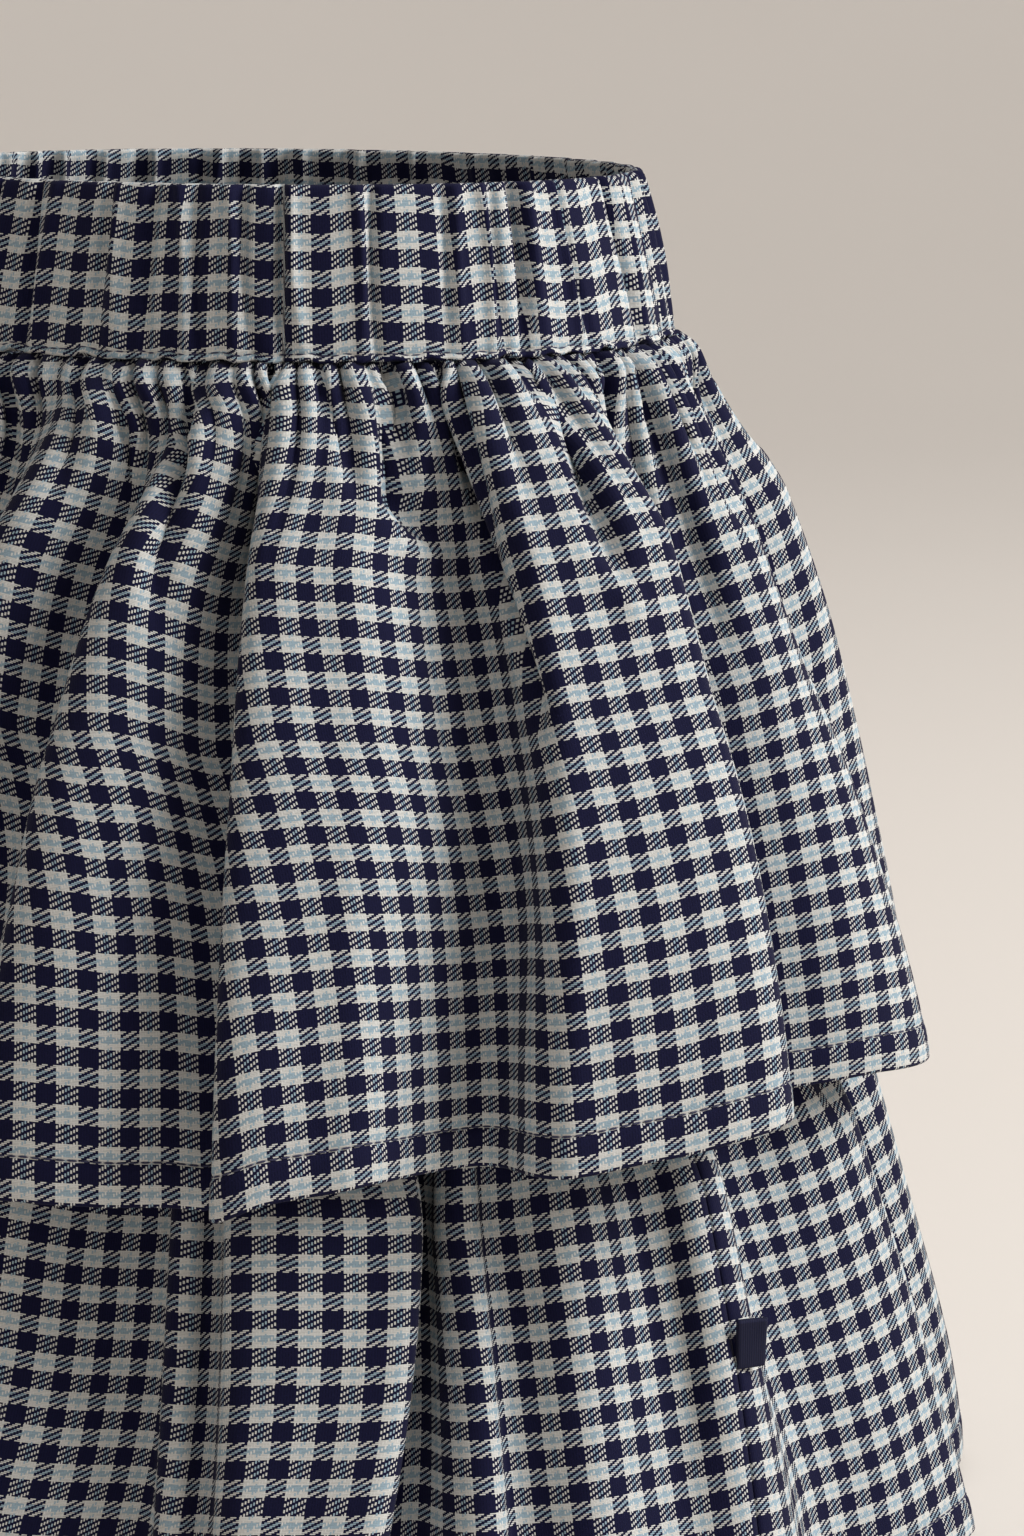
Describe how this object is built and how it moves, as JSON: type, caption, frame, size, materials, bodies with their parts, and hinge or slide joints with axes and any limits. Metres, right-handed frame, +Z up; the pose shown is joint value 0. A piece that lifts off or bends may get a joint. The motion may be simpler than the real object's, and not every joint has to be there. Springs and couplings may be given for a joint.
{
  "type": "tiered ruffle skirt",
  "caption": "Pull-on skirt of checked cotton twill: a ruched elastic waistband, a gathered upper tier and a longer gathered tier showing under it.",
  "frame": {"origin": "the centre of the waist, at the middle of the waistband's height, where the wearer's waist holds the skirt up", "axes": "+Z is up through the waist, -Y is the garment's front, and +X is the wearer's left"},
  "size_m": [0.3971, 0.3643, 0.3446],
  "materials": {
    "check_cloth": "matt navy and off-white checked cotton twill",
    "label_ribbon": "woven navy ribbon, blank"
  },
  "bodies": {
    "root": {"waistband": "check_cloth", "upper_tier_front": "check_cloth", "upper_tier_back": "check_cloth", "base_front": "check_cloth", "base_back": "check_cloth", "lower_tier_front": "check_cloth", "lower_tier_back": "check_cloth", "side_label": "label_ribbon"}
  },
  "joints": []
}
